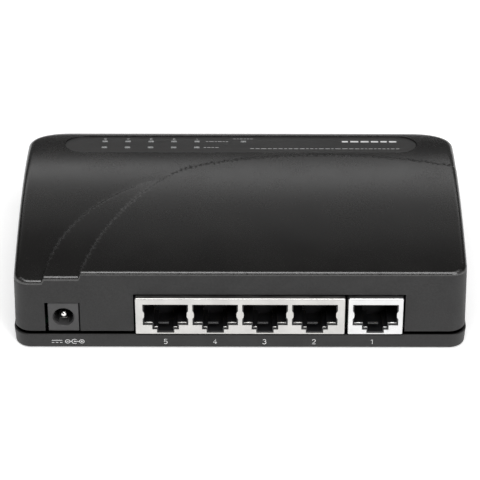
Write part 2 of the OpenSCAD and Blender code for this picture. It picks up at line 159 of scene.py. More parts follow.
def give(obj, *materials):
    obj.data.materials.clear()
    for m in materials:
        obj.data.materials.append(m)
    return obj


def place(obj, body, slot, *nodes):
    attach(obj, body)
    if nodes:
        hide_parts(*nodes)
    return obj


def prism(outline, z0, z1, name="prism", round_edge=0.0, segments=2):
    """Upright prism over a plan outline, with its long edges rounded if asked."""
    n = len(outline)
    verts = [(x, y, z0) for x, y in outline] + [(x, y, z1) for x, y in outline]
    faces = [tuple(range(n - 1, -1, -1)), tuple(range(n, 2 * n))]
    faces += [(i, (i + 1) % n, n + (i + 1) % n, n + i) for i in range(n)]
    obj = new_object(name, verts, faces)
    if round_edge:
        bevel(obj, round_edge, segments)
    return obj


def bevel(obj, width, segments):
    m = obj.modifiers.new("round", "BEVEL")
    m.width = width * MM
    m.segments = segments
    m.limit_method = "ANGLE"
    m.angle_limit = math.radians(40)
    m.use_clamp_overlap = True
    return apply_modifiers(obj)


def box(x0, x1, y0, y1, z0, z1, round_edge=0.0, segments=2):
    return prism([(x0, y0), (x1, y0), (x1, y1), (x0, y1)], z0, z1, "box", round_edge, segments)


def face_outwards(obj, merge=False):
    bm = bmesh.new()
    bm.from_mesh(obj.data)
    if merge:
        bmesh.ops.remove_doubles(bm, verts=bm.verts, dist=1e-6)
        bmesh.ops.dissolve_degenerate(bm, edges=bm.edges, dist=1e-7)
    bmesh.ops.recalc_face_normals(bm, faces=bm.faces)
    bm.to_mesh(obj.data)
    bm.free()
    return obj


def lathe(profile, centre, axis="Z", steps=40):
    """Turns a closed profile of (radius, height) points round an axis through centre."""
    cx, cy, cz = centre
    verts, faces = [], []
    n = len(profile)
    for i in range(steps):
        a = 2 * math.pi * i / steps
        for r, h in profile:
            u, v = r * math.cos(a), r * math.sin(a)
            if axis == "Z":
                verts.append((cx + u, cy + v, cz + h))
            else:
                verts.append((cx + v, cy + h, cz + u))
    for i in range(steps):
        a, b = i * n, (i + 1) % steps * n
        for j in range(n):
            k = (j + 1) % n
            faces.append((a + j, b + j, b + k, a + k))
    obj = new_object("lathe", verts, faces)
    return face_outwards(obj, merge=True)


def rounded_rectangle(half, y0, y1, r0, r1, spacing, corner_steps, dense=None):
    """Anticlockwise outline as (x, y, inward x, inward y, front share)."""
    out = []

    def line(ax, ay, bx, by, nx, ny, front):
        length = math.hypot(bx - ax, by - ay)
        count = max(2, round(length / spacing))
        t = [i / count for i in range(count)]
        if dense:
            fine = []
            for i in range(int(length / 0.1)):
                f = i * 0.1 / length
                x, y = ax + (bx - ax) * f + nx, ay + (by - ay) * f + ny
                if dense(x, y):
                    fine.append(f)
            t = sorted(fine + [f for f in t if all(abs(f - g) > 0.08 / length for g in fine)])
        for f in t:
            out.append((ax + (bx - ax) * f, ay + (by - ay) * f, nx, ny, front))

    def corner(cx, cy, r, start, a, b):
        for i in range(corner_steps):
            f = i / corner_steps
            t = math.radians(start + 90 * f)
            out.append((cx + r * math.cos(t), cy + r * math.sin(t),
                        -math.cos(t), -math.sin(t), a + (b - a) * smooth_step(f)))

    line(-half + r0, y0, half - r0, y0, 0, 1, -1)
    corner(half - r0, y0 + r0, r0, -90, -1, 0)
    line(half, y0 + r0, half, y1 - r1, -1, 0, 0)
    corner(half - r1, y1 - r1, r1, 0, 0, 1)
    line(half - r1, y1, -half + r1, y1, 0, -1, 1)
    corner(-half + r1, y1 - r1, r1, 90, 1, 0)
    line(-half, y1 - r1, -half, y0 + r0, 1, 0, 0)
    corner(-half + r0, y0 + r0, r0, 180, 0, -1)
    return out


def loft(rings, name, close=False):
    """Closed solid through rings of equally many points, first to last, with flat ends.
    With close=True the last ring joins the first, which makes an endless band."""
    n = len(rings[0])
    verts = [p for ring in rings for p in ring]
    faces = []
    count = len(rings)
    for j in range(count if close else count - 1):
        a, b = j * n, (j + 1) % count * n
        for i in range(n):
            k = (i + 1) % n
            faces.append((a + i, a + k, b + k, b + i))
    if not close:
        faces.append(tuple(range(n - 1, -1, -1)))
        faces.append(tuple(range((count - 1) * n, count * n)))
    return new_object(name, verts, faces)


def inside(x, y, poly):
    hit = False
    j = len(poly) - 1
    for i in range(len(poly)):
        xi, yi = poly[i]
        xj, yj = poly[j]
        if (yi > y) != (yj > y) and x < (xj - xi) * (y - yi) / (yj - yi) + xi:
            hit = not hit
        j = i
    return hit


# ---- the domed top ----

ARC_LOW, ARC_LOW_R = (55.3, -66.4), 104.3
ARC_TOP, ARC_TOP_R = (24.3, -95.4), 112.1
BEND_R = 24.0
MID_DISC, MID_DISC_R = (-0.4, -46.7), 55.5

# Domes as (depth of the crown, height of the crown, radius).
OUTER_REAR = (8.4, 30.4, 137)
OUTER_FRONT = (8.4, 30.4, 100)
MID_DOME = (4.4, 30.3, 141)
MAIN_DOME = (4.4, 31.0, 165)
RECESS = 0.53
FILM_SINK = 0.23
FILM_CURVE = 95


def circles_meet(a, ra, b, rb):
    """Upper crossing point of two circles."""
    ax, ay = a
    dx, dy = b[0] - ax, b[1] - ay
    d = math.hypot(dx, dy)
    t = (ra * ra - rb * rb + d * d) / (2 * d)
    ux, uy = dx / d, dy / d
    h = math.sqrt(ra * ra - t * t)
    sx, sy = (-uy, ux) if ux > 0 else (uy, -ux)
    return ax + t * ux + h * sx, ay + t * uy + h * sy


BEND = circles_meet(ARC_LOW, ARC_LOW_R - BEND_R, ARC_TOP, ARC_TOP_R - BEND_R)


def inside_mid(x, y):
    """Distance inside the middle field, negative outside."""
    return MID_DISC_R - math.hypot(x - MID_DISC[0], y - MID_DISC[1])


def inside_main(x, y):
    """Distance inside the main field, negative outside."""
    px, py = x - BEND[0], y - BEND[1]
    ax, ay = BEND[0] - ARC_LOW[0], BEND[1] - ARC_LOW[1]
    bx, by = BEND[0] - ARC_TOP[0], BEND[1] - ARC_TOP[1]
    if ax * py - ay * px <= 0 and px * by - py * bx <= 0:
        return BEND_R - math.hypot(px, py)
    return min(ARC_LOW_R - math.hypot(x - ARC_LOW[0], y - ARC_LOW[1]),
               ARC_TOP_R - math.hypot(x - ARC_TOP[0], y - ARC_TOP[1]))


def inside_inlay(x, y, grow=0.12):
    r = INLAY_H / 2
    half = (INLAY_W - INLAY_H) / 2
    return r + grow - math.hypot(max(abs(x) - half, 0), y - INLAY_Y)


def dome(y, centre, crown, r):
    return crown - r + math.sqrt(r * r - (y - centre) ** 2)


def outer_dome(y):
    return dome(y, *(OUTER_REAR if y < OUTER_REAR[0] else OUTER_FRONT))


STEP_OUT, STEP_IN = 0.5, 0.3
RIM_R = 0.25
WALL_RISE = 19
PROBE = 0.05
CELL = 0.8
LINE_SPACING = 0.5


def step_share(s):
    return smooth_step((s + STEP_OUT) / (STEP_OUT + STEP_IN))


def domes(y, mid, main):
    """Height of the top at depth y for given shares of the raised fields."""
    h = outer_dome(y)
    h += max(0.0, dome(y, *MID_DOME) - h) * mid
    h += max(0.0, dome(y, *MAIN_DOME) - h) * main
    return h


def top_height(x, y):
    h = domes(y, step_share(inside_mid(x, y)), step_share(inside_main(x, y)))
    return h - RECESS * smooth_step((inside_inlay(x, y) + 0.06) / 0.12)


def nose_radius(front):
    """Edge rounding: small at the ports (-1), more at the sides (0), large at the lamps (1)."""
    if front <= 0:
        return 2.0 + front
    return 2.0 + (R_NOSE - 2.0) * front


def near_step(x, y):
    return min(abs(inside_mid(x, y) + 0.1), abs(inside_main(x, y) + 0.1)) < 0.7


def cover_solid(name, inset, drop, spacing, grid, detailed):
    """The cover's outside (inset 0) or its cavity, as one closed solid."""
    base = rounded_rectangle(COVER_HALF, COVER_REAR, COVER_FRONT, R_REAR, R_FRONT,
                             spacing, 26 if detailed else 8, near_step if detailed else None)
    arc_steps = 9 if detailed else 4
    columns = []
    for x, y, nx, ny, front in base:
        rf = max(nose_radius(front) - inset, 0.4)
        lean = DRAFT * WALL_RISE
        slope, d = 0.0, rf
        for _ in range(3):
            turn = math.atan(slope)
            d = inset + lean + rf * (1 - math.sin(turn))
            qx, qy = x + nx * d, y + ny * d
            mid = step_share(inside_mid(qx, qy)) if detailed else 0.0
            main = step_share(inside_main(qx, qy)) if detailed else 0.0
            rise = domes(qy + PROBE * ny, mid, main) - domes(qy - PROBE * ny, mid, main)
            slope = rise / (2 * PROBE)
        turn = math.atan(slope)
        d = inset + lean + rf * (1 - math.sin(turn))
        qx, qy = x + nx * d, y + ny * d
        h = domes(qy, step_share(inside_mid(qx, qy)) if detailed else 0.0,
                  step_share(inside_main(qx, qy)) if detailed else 0.0) - drop
        centre = h + slope * rf * math.sin(turn) - rf / math.cos(turn)
        column = []
        if detailed:
            for a in (0, 30, 60):
                t = math.radians(a)
                column.append((RIM_R * (1 - math.sin(t)), COVER_Z + RIM_R * (1 - math.cos(t))))
            column.append((DRAFT * RIM_R, COVER_Z + RIM_R))
            for f in (0.04, 0.2, 0.5, 0.8, 0.93, 0.985):
                z = COVER_Z + RIM_R + (centre - COVER_Z - RIM_R) * f
                column.append((DRAFT * (z - COVER_Z), z))
        else:
            column.append((inset, COVER_Z - 2))
            column.append((inset, COVER_Z + 0.3))
            column.append((inset + lean * 0.5, COVER_Z + 0.5 * (centre - COVER_Z)))
        last = math.pi / 2 - turn
        for j in range(arc_steps + 1):
            t = last * j / arc_steps
            column.append((inset + lean + rf * (1 - math.cos(t)), centre + rf * math.sin(t)))
        columns.append([(x + nx * dd, y + ny * dd, z) for dd, z in column])
    rows = len(columns[0])
    count = len(columns)
    verts = [columns[i][j] for j in range(rows) for i in range(count)]
    faces = [tuple(range(count - 1, -1, -1))]
    for j in range(rows - 1):
        for i in range(count):
            k = (i + 1) % count
            faces.append((j * count + i, j * count + k, (j + 1) * count + k, (j + 1) * count + i))
    ring = [(columns[i][-1][0], columns[i][-1][1]) for i in range(count)]
    top_verts, top_faces = fill_top(ring, grid, detailed, drop)
    start = (rows - 1) * count
    index = list(range(start, start + count))
    for i in range(count, len(top_verts)):
        index.append(len(verts))
        verts.append(top_verts[i])
    faces += [tuple(index[i] for i in f) for f in top_faces]
    return new_object(name, verts, faces)


def fill_top(ring, grid, detailed, drop):
    """Triangles inside the top's edge ring, with rows that follow the steps and the recess."""
    n = len(ring)
    points = [Vector(p) for p in ring]
    edges = []
    lines = []
    if detailed:
        for off in (-0.52, -0.38, -0.24, -0.1, 0.04, 0.18, 0.32):
            lines += field_lines(off)
        for grow in (0.20, 0.12, 0.06, 0.0):
            rim = stadium(grow, 32, 60)
            lines.append(rim + rim[:1])
    tree = {}

    def cell(x, y):
        return int(x // CELL), int(y // CELL)

    def note(x, y):
        tree.setdefault(cell(x, y), []).append((x, y))

    def put(x, y, reach):
        cx, cy = cell(x, y)
        for i in (-1, 0, 1):
            for j in (-1, 0, 1):
                for q in tree.get((cx + i, cy + j), ()):
                    if math.hypot(q[0] - x, q[1] - y) < reach:
                        return False
        note(x, y)
        return True

    xs = [p[0] for p in ring]
    ys = [p[1] for p in ring]
    for x, y in ring:
        note(x, y)
    shrunk = shrink(ring, 0.05)
    for line in lines:
        last = None
        for x, y in line:
            if inside(x, y, shrunk):
                points.append(Vector((x, y)))
                note(x, y)
                here = len(points) - 1
                if last is not None:
                    edges.append((last, here))
                last = here
            else:
                last = None
    x = min(xs) + grid / 2
    row = 0
    while x < max(xs):
        y = min(ys) + grid / 2 + (grid / 2 if row % 2 else 0)
        while y < max(ys):
            if inside(x, y, shrunk) and put(x, y, 0.45 if detailed else grid * 0.4):
                points.append(Vector((x, y)))
            y += grid
        x += grid * 0.866
        row += 1
    out = delaunay_2d_cdt(points, edges, [list(range(n))], 1, 1e-5)
    verts2, faces2, ids = out[0], out[2], out[3]
    order = [None] * n
    rest = []
    for i, origin in enumerate(ids):
        ring_ids = [k for k in origin if k < n]
        if ring_ids:
            order[ring_ids[0]] = i
        else:
            rest.append(i)
    where = {v: k for k, v in enumerate(order)}
    for k, v in enumerate(rest):
        where[v] = n + k
    verts = [(ring[k][0], ring[k][1], 0.0) for k in range(n)]
    for v in rest:
        x, y = verts2[v]
        verts.append((x, y, (top_height(x, y) if detailed else outer_dome(y)) - drop))
    faces = []
    for f in faces2:
        a, b, c = (verts2[i] for i in f[:3])
        if (b - a).cross(c - a) < 0:
            f = list(reversed(f))
        faces.append(tuple(where[i] for i in f))
    return verts, faces


def shrink(ring, by):
    cx = sum(p[0] for p in ring) / len(ring)
    cy = sum(p[1] for p in ring) / len(ring)
    out = []
    for x, y in ring:
        d = math.hypot(x - cx, y - cy)
        out.append((x - (x - cx) / d * by * 1.5, y - (y - cy) / d * by * 1.5))
    return out


def field_lines(off):
    """Lines parallel to the borders of the middle and main fields, off millimetres inside."""

    def arc(centre, r, a0, a1):
        n = max(4, int(abs(a1 - a0) * r / LINE_SPACING))
        return [(centre[0] + (r - off) * math.cos(a0 + (a1 - a0) * i / n),
                 centre[1] + (r - off) * math.sin(a0 + (a1 - a0) * i / n)) for i in range(n + 1)]

    to_low = math.atan2(BEND[1] - ARC_LOW[1], BEND[0] - ARC_LOW[0])
    to_top = math.atan2(BEND[1] - ARC_TOP[1], BEND[0] - ARC_TOP[0])
    main = arc(ARC_TOP, ARC_TOP_R, math.radians(60), to_top)[:-1]
    main += arc(BEND, BEND_R, to_top, to_low)[:-1]
    main += arc(ARC_LOW, ARC_LOW_R, to_low, math.radians(176))
    mid = [p for p in arc(MID_DISC, MID_DISC_R, math.radians(95), math.radians(176))
           if inside_main(*p) < -0.56]
    return [main, mid]


def stadium(grow, steps, cuts=1):
    """Outline of the inlay grown by grow millimetres, each straight side in so many cuts."""
    r = INLAY_H / 2 + grow
    half = (INLAY_W - INLAY_H) / 2
    pts = []
    for sign in (1, -1):
        for i in range(steps + 1):
            a = -sign * math.pi / 2 + math.pi * i / steps
            pts.append((sign * half + r * math.cos(a), INLAY_Y + r * math.sin(a)))
        for i in range(1, cuts):
            pts.append((sign * (half - 2 * half * i / cuts), INLAY_Y + sign * r))
    return pts


# ---- materials ----


def base_material(name):
    m = bpy.data.materials.new(name)
    m.use_nodes = True
    nt = m.node_tree
    return m, nt, nt.nodes["Principled BSDF"]


def noise(nt, size, detail=3.0, rough=0.5, stretch=None):
    """Noise with features of about size millimetres."""
    coords = nt.nodes.new("ShaderNodeTexCoord")
    node = nt.nodes.new("ShaderNodeTexNoise")
    node.inputs["Scale"].default_value = 1000.0 / size
    node.inputs["Detail"].default_value = detail
    node.inputs["Roughness"].default_value = rough
    if stretch:
        mapping = nt.nodes.new("ShaderNodeMapping")
        mapping.inputs["Scale"].default_value = stretch
        nt.links.new(coords.outputs["Object"], mapping.inputs["Vector"])
        nt.links.new(mapping.outputs[0], node.inputs["Vector"])
    else:
        nt.links.new(coords.outputs["Object"], node.inputs["Vector"])
    return node.outputs["Fac"]


def spread(nt, value, low, high, start=0.3, end=0.7):
    node = nt.nodes.new("ShaderNodeMapRange")
    node.inputs["From Min"].default_value = start
    node.inputs["From Max"].default_value = end
    node.inputs["To Min"].default_value = low
    node.inputs["To Max"].default_value = high
    nt.links.new(value, node.inputs["Value"])
    return node.outputs[0]


def blend_colours(nt, share, a, b):
    node = nt.nodes.new("ShaderNodeMix")
    node.data_type = "RGBA"
    for socket, value in ((6, a), (7, b)):
        if hasattr(value, "is_output"):
            nt.links.new(value, node.inputs[socket])
        else:
            node.inputs[socket].default_value = (*value, 1)
    nt.links.new(share, node.inputs[0])
    return node.outputs[2]


def maths(nt, operation, a, b=0.0):
    node = nt.nodes.new("ShaderNodeMath")
    node.operation = operation
    for i, value in enumerate((a, b)):
        if hasattr(value, "is_output"):
            nt.links.new(value, node.inputs[i])
        else:
            node.inputs[i].default_value = value
    return node.outputs[0]


def bump(nt, height, depth, normal=None):
    """depth in millimetres."""
    node = nt.nodes.new("ShaderNodeBump")
    node.inputs["Distance"].default_value = depth * MM
    node.inputs["Strength"].default_value = 1.0
    nt.links.new(height, node.inputs["Height"])
    if normal is not None:
        nt.links.new(normal, node.inputs["Normal"])
    return node.outputs[0]


def position(nt):
    """The three object coordinates, in metres."""
    coords = nt.nodes.new("ShaderNodeTexCoord")
    split = nt.nodes.new("ShaderNodeSeparateXYZ")
    nt.links.new(coords.outputs["Object"], split.inputs[0])
    return split.outputs


def soft_edges(nt, radius):
    node = nt.nodes.new("ShaderNodeBevel")
    node.samples = 4
    node.inputs["Radius"].default_value = radius * MM
    return node.outputs[0]


def tint(nt, s, size, dark, light, detail=3.0):
    """Colour that varies over patches of about size millimetres."""
    nt.links.new(blend_colours(nt, spread(nt, noise(nt, size, detail), 0, 1), dark, light),
                 s.inputs["Base Color"])


def gloss(nt, s, size, detail, low, high):
    """Roughness that varies between low and high."""
    nt.links.new(spread(nt, noise(nt, size, detail), low, high), s.inputs["Roughness"])


def texture(nt, s, size, detail, depth, rough=0.5, normal=None):
    """Fine relief, depth millimetres deep."""
    nt.links.new(bump(nt, noise(nt, size, detail, rough), depth, normal), s.inputs["Normal"])


def plastic(name, dark, light, rough, grain=0.35, grain_depth=0.01, edge=0.0, specular=0.5):
    """Moulded plastic: mottled colour, uneven gloss and a fine grain."""
    m, nt, s = base_material(name)
    tint(nt, s, 9.0, dark, light)
    gloss(nt, s, 2.3, 4, rough - 0.06, rough + 0.06)
    s.inputs["Specular IOR Level"].default_value = specular
    normal = soft_edges(nt, edge) if edge else None
    texture(nt, s, grain, 2, grain_depth, normal=normal)
    return m


def metal(name, dark, light, rough, grain=0.5, grain_depth=0.002, stretch=None, edge=0.0,
          spread_rough=0.06):
    """Bare or plated metal: slight tarnish, rolling marks and uneven gloss."""
    m, nt, s = base_material(name)
    s.inputs["Metallic"].default_value = 1.0
    tint(nt, s, 5, dark, light, 4)
    nt.links.new(spread(nt, noise(nt, 1.4, 4, 0.6, stretch), rough - spread_rough,
                        rough + spread_rough), s.inputs["Roughness"])
    normal = soft_edges(nt, edge) if edge else None
    nt.links.new(bump(nt, noise(nt, grain, 3, 0.5, stretch), grain_depth, normal),
                 s.inputs["Normal"])
    return m


def cover_top_material():
    m, nt, s = base_material("satin_black_cover")
    tint(nt, s, 14, (0.0085, 0.008, 0.0078), (0.0115, 0.011, 0.0105))
    handled = spread(nt, noise(nt, 17, 4, 0.6), 0.235, 0.285)
    fine = spread(nt, noise(nt, 0.5, 2), -0.02, 0.02)
    nt.links.new(maths(nt, "ADD", handled, fine), s.inputs["Roughness"])
    s.inputs["Specular IOR Level"].default_value = 0.5
    peel = bump(nt, noise(nt, 0.55, 2), 0.0006)
    hair = noise(nt, 0.25, 5, 0.7, (1.0, 0.04, 1.0))
    nt.links.new(bump(nt, spread(nt, hair, 0, 1, 0.62, 0.8), 0.0004, peel), s.inputs["Normal"])
    return m


def cover_wall_material():
    """The same plastic with the textured finish of the upright walls."""
    m, nt, s = base_material("textured_black_cover")
    tint(nt, s, 0.5, (0.0065, 0.0063, 0.0063), (0.015, 0.0146, 0.0146))
    gloss(nt, s, 6, 4, 0.48, 0.58)
    x, y, z = position(nt)
    line = spread(nt, maths(nt, "ABSOLUTE", maths(nt, "SUBTRACT", z, 0.02195)), 1, 0,
                  0.00004, 0.00012)
    right = spread(nt, x, 0, 1, 0.0458, 0.047)
    end = spread(nt, x, 1, 0, 0.0588, 0.0594)
    faint = maths(nt, "MULTIPLY", maths(nt, "MULTIPLY", line, right), end)
    grainy = bump(nt, noise(nt, 0.36, 3, 0.6), 0.03)
    nt.links.new(bump(nt, faint, 0.05, grainy), s.inputs["Normal"])
    return m


def cover_edge_painted_highlight_material():
    """The shinier rounded edge between the polished top and the textured wall; its lighter colour
    is a painted highlight.
    """
    m, nt, s = base_material("rounded_edge_cover_painted_highlight")
    # Painted highlight: lighter than the top and the wall, to show the bright line along the edge.
    tint(nt, s, 0.5, (0.012, 0.0115, 0.0115), (0.035, 0.034, 0.033))
    gloss(nt, s, 0.7, 3, 0.2, 0.36)
    s.inputs["Specular IOR Level"].default_value = 0.9
    texture(nt, s, 0.42, 3, 0.035, 0.6)
    return m


def tray_material():
    m, nt, s = base_material("black_tray")
    tint(nt, s, 0.5, (0.007, 0.0068, 0.0068), (0.014, 0.0136, 0.0136))
    gloss(nt, s, 7, 4, 0.5, 0.6)
    texture(nt, s, 0.34, 3, 0.022, 0.6)
    return m


def board_material():
    """Green solder mask with darker copper tracks that show through it, and a rear strip that
    fades to near-black as painted shade.
    """
    m, nt, s = base_material("green_board")
    coords = nt.nodes.new("ShaderNodeTexCoord")
    brick = nt.nodes.new("ShaderNodeTexBrick")
    brick.inputs["Scale"].default_value = 260
    brick.inputs["Mortar Size"].default_value = 0.012
    brick.inputs["Color1"].default_value = (0.012, 0.10, 0.045, 1)
    brick.inputs["Color2"].default_value = (0.015, 0.13, 0.055, 1)
    brick.inputs["Mortar"].default_value = (0.03, 0.19, 0.09, 1)
    nt.links.new(coords.outputs["Object"], brick.inputs["Vector"])
    mask = blend_colours(nt, spread(nt, noise(nt, 12), 0, 0.5), brick.outputs["Color"],
                         (0.01, 0.08, 0.035))
    # Painted shade: the board's rear strip goes near-black where it shows through the cut-outs at
    # the rear of the cover.
    edge = spread(nt, position(nt)[1], 1, 0, -0.0335, -0.0325)
    nt.links.new(blend_colours(nt, edge, mask, (0.004, 0.006, 0.005)), s.inputs["Base Color"])
    gloss(nt, s, 4, 4, 0.25, 0.4)
    nt.links.new(bump(nt, brick.outputs["Fac"], 0.03), s.inputs["Normal"])
    return m


def film_material():
    """Grey printed film with a faint velvet grain."""
    m, nt, s = base_material("inlay_film")
    tint(nt, s, 18, (0.022, 0.0215, 0.021), (0.028, 0.0275, 0.027))
    gloss(nt, s, 3, 4, 0.34, 0.42)
    texture(nt, s, 0.2, 2, 0.0012)
    return m


def acrylic_material():
    m, nt, s = base_material("clear_acrylic")
    tint(nt, s, 0.9, (0.3, 0.31, 0.31), (0.42, 0.43, 0.43))
    gloss(nt, s, 0.6, 3, 0.22, 0.36)
    s.inputs["Transmission Weight"].default_value = 0.35
    texture(nt, s, 0.4, 2, 0.004)
    return m


def ink_material(name, tone):
    m, nt, s = base_material(name)
    tint(nt, s, 0.25, (tone * 0.82,) * 3, (tone,) * 3)
    gloss(nt, s, 0.6, 3, 0.5, 0.65)
    texture(nt, s, 0.2, 2, 0.004)
    return m


def label_material():
    m, nt, s = base_material("label_paper")
    tint(nt, s, 0.8, (0.55, 0.55, 0.54), (0.66, 0.66, 0.65), 4)
    gloss(nt, s, 2, 3, 0.55, 0.68)
    texture(nt, s, 0.3, 3, 0.006)
    return m


TOP = cover_top_material()
TEXTURED = cover_wall_material()
EDGE_WITH_PAINTED_HIGHLIGHT = cover_edge_painted_highlight_material()
TRAY = tray_material()
FILM = film_material()
ACRYLIC = acrylic_material()
INK_LIGHT = ink_material("printed_ink_light", 0.9)
INK_DIM = ink_material("printed_ink_dim", 0.45)
TIN_WARM = metal("four_port_shield_tin", (0.57, 0.56, 0.545), (0.66, 0.65, 0.63), 0.34,
                 stretch=(0.15, 1, 1), grain_depth=0.0025)
TIN_BRIGHT = metal("single_port_shield_tin", (0.74, 0.74, 0.74), (0.82, 0.82, 0.82), 0.32,
                   stretch=(0.15, 1, 1), grain_depth=0.0025)
NYLON = plastic("black_nylon", (0.006, 0.006, 0.007), (0.011, 0.011, 0.012), 0.38, 0.4, 0.006,
                edge=0.12)
GLOSS_NYLON = plastic("glossy_nylon", (0.02, 0.02, 0.021), (0.035, 0.035, 0.036), 0.22, 0.5,
                      0.004)
SOCKET = plastic("power_socket_nylon", (0.045, 0.044, 0.045), (0.06, 0.059, 0.06), 0.5, 0.4,
                 0.012)
CHROME = metal("power_pin_nickel", (0.78, 0.77, 0.75), (0.9, 0.89, 0.87), 0.14,
               spread_rough=0.05)
SPRING = metal("power_spring_nickel", (0.62, 0.61, 0.58), (0.76, 0.75, 0.72), 0.24)
GOLD = metal("contact_gold", (0.62, 0.43, 0.14), (0.78, 0.56, 0.2), 0.24, stretch=(1, 0.1, 1))
SOLDER = metal("terminal_tin", (0.55, 0.55, 0.56), (0.72, 0.72, 0.73), 0.34)
STEEL = metal("zinc_screw", (0.56, 0.56, 0.57), (0.74, 0.74, 0.76), 0.3, edge=0.08)
CAN = metal("crystal_can", (0.6, 0.6, 0.61), (0.72, 0.72, 0.73), 0.26, edge=0.15)
RUBBER = plastic("foot_rubber", (0.014, 0.014, 0.014), (0.028, 0.027, 0.026), 0.78, 0.5, 0.03,
                 specular=0.3)
EPOXY = plastic("chip_epoxy", (0.012, 0.012, 0.013), (0.022, 0.022, 0.023), 0.55, 0.25, 0.012,
                edge=0.08)
TRANSFORMER = plastic("transformer_epoxy", (0.01, 0.01, 0.011), (0.018, 0.018, 0.019), 0.48,
                      0.3, 0.01, edge=0.1)
SLEEVE = plastic("capacitor_sleeve", (0.01, 0.014, 0.035), (0.016, 0.022, 0.05), 0.3, 0.8,
                 0.006, edge=0.15)
FERRITE = plastic("inductor_ferrite", (0.03, 0.029, 0.028), (0.06, 0.058, 0.055), 0.62, 0.3,
                  0.02, edge=0.1)
CERAMIC = plastic("chip_capacitor_ceramic", (0.33, 0.24, 0.13), (0.45, 0.34, 0.2), 0.42, 0.3,
                  0.008, edge=0.06)
GLAZE = plastic("chip_resistor_glaze", (0.01, 0.01, 0.012), (0.02, 0.02, 0.025), 0.25, 0.3,
                0.006, edge=0.06)
LENS = plastic("lamp_lens", (0.45, 0.5, 0.4), (0.6, 0.62, 0.5), 0.25, 0.3, 0.004, edge=0.06)
LABEL = label_material()
BOARD = board_material()


# ---- pieces ----


def make_cover():
    cover = cover_solid("cover", 0, 0, 1.3, 1.5, True)
    cavity = cover_solid("cavity", WALL, WALL, 4.0, 4.5, False)
    boolean(cover, cavity)
    left, right = -GANG_W / 2 - 0.5, PORT_X[0] + SINGLE_W / 2 + 0.6
    boolean(cover, box(left, right, COVER_REAR - 2, COVER_REAR + 4, COVER_Z - 1,
                       JACK_Z + JACK_H + 0.5))
    boolean(cover, box(DC_X - 5.2, DC_X + 4.7, COVER_REAR - 2, COVER_REAR + 4, COVER_Z - 1,
                       JACK_Z + 9.95))
    for x, y in lamp_spots():
        boolean(cover, box(x - 1.1, x + 1.1, y - 0.8, y + 0.8, 20, 32))
    for x, y in BOSSES:
        top = outer_dome(y) - 1.2
        post = lathe([(0, COVER_Z + 0.4), (2.8, COVER_Z + 0.4), (3, COVER_Z + 0.6), (3, top),
                      (0, top)], (x, y, 0), steps=32)
        boolean(cover, post, "UNION")
        boolean(cover, lathe([(0, 5), (1.25, 5), (1.25, 14.9), (0, 14.9)], (x, y, 0), steps=24))
    give(cover, TOP, TEXTURED, EDGE_WITH_PAINTED_HIGHLIGHT)
    # Upright faces are textured, and the rounded rear edge over the ports is shinier, with a
    # lighter colour that is a painted highlight.
    for p in cover.data.polygons:
        c, n = p.center, p.normal
        if n.z < 0.06:
            p.material_index = 1
        elif len(p.vertices) == 4 and n.y < -0.12 and c.y < -0.0355 and c.z > 0.02:
            p.material_index = 2
        else:
            p.material_index = 0
    shade(cover, 42)
    cover.name = "domed_cover"
    place(cover, "case", "satin_black_cover", "top_cover")


def lamp_spots():
    return ([(x, ROW_SPEED) for x in LAMP_X] + [(x, ROW_LINK) for x in LAMP_X]
            + [(POWER_LAMP_X, ROW_LINK)])


def make_inlay():
    """The film follows the curve of the outer field, with a window for each lamp."""
    film = prism(stadium(0, 24), 20, 34, "film")
    bm = bmesh.new()
    bm.from_mesh(film.data)
    for k in range(1, 12):
        y = (INLAY_Y - INLAY_H / 2 + INLAY_H * k / 12) * MM
        bmesh.ops.bisect_plane(bm, geom=bm.verts[:] + bm.edges[:] + bm.faces[:],
                               plane_co=(0, y, 0), plane_no=(0, 1, 0))
    for v in bm.verts:
        y = v.co.y / MM
        sink = RECESS if v.co.z < 0.027 else FILM_SINK
        v.co.z = (outer_dome(y) - sink * film_slant(y)) * MM
    bmesh.ops.triangulate(bm, faces=[f for f in bm.faces if len(f.verts) > 4])
    bm.to_mesh(film.data)
    bm.free()
    for x, y in lamp_spots():
        boolean(film, box(x - 0.92, x + 0.92, y - 0.58, y + 0.58, 20, 32))
    give(film, FILM)
    shade(film, 40, False)
    film.name = "printed_film"
    place(film, "case", "inlay_film", "lamp_inlay")


def film_slant(y):
    """Upright share of a thickness that is measured square to the top."""
    return math.sqrt(1 + ((y - OUTER_REAR[0]) / FILM_CURVE) ** 2)


def film_top(y):
    return outer_dome(y) - FILM_SINK * film_slant(y)


def make_light_pipes():
    parts = []
    for x, y in lamp_spots():
        top = film_top(y) + 0.04
        parts.append(box(x - 0.86, x + 0.86, y - 0.52, y + 0.52, 6.9, top, round_edge=0.16,
                         segments=3))
    pipes = join("pipes", parts)
    for y in (ROW_SPEED, ROW_LINK):
        boolean(pipes, box(LAMP_X[0] - 1, POWER_LAMP_X + 1, y - 0.5, y + 0.5, 11.7, 13.2,
                           round_edge=0.2), "UNION")
    for x in (LAMP_X[0], POWER_LAMP_X):
        boolean(pipes, box(x - 0.8, x + 0.8, ROW_SPEED, ROW_LINK, 11.8, 13.1, round_edge=0.2),
                "UNION")
    give(pipes, ACRYLIC)
    shade(pipes, 50)
    pipes.name = "lamp_light_pipes"
    place(pipes, "case", "clear_acrylic", "light_pipes")


def tray_ring(inset, z):
    ring = rounded_rectangle(HALF_W, TRAY_REAR, TRAY_FRONT, R_REAR, R_FRONT, 4.0, 18)
    return [(x + nx * inset, y + ny * inset, z) for x, y, nx, ny, _ in ring]


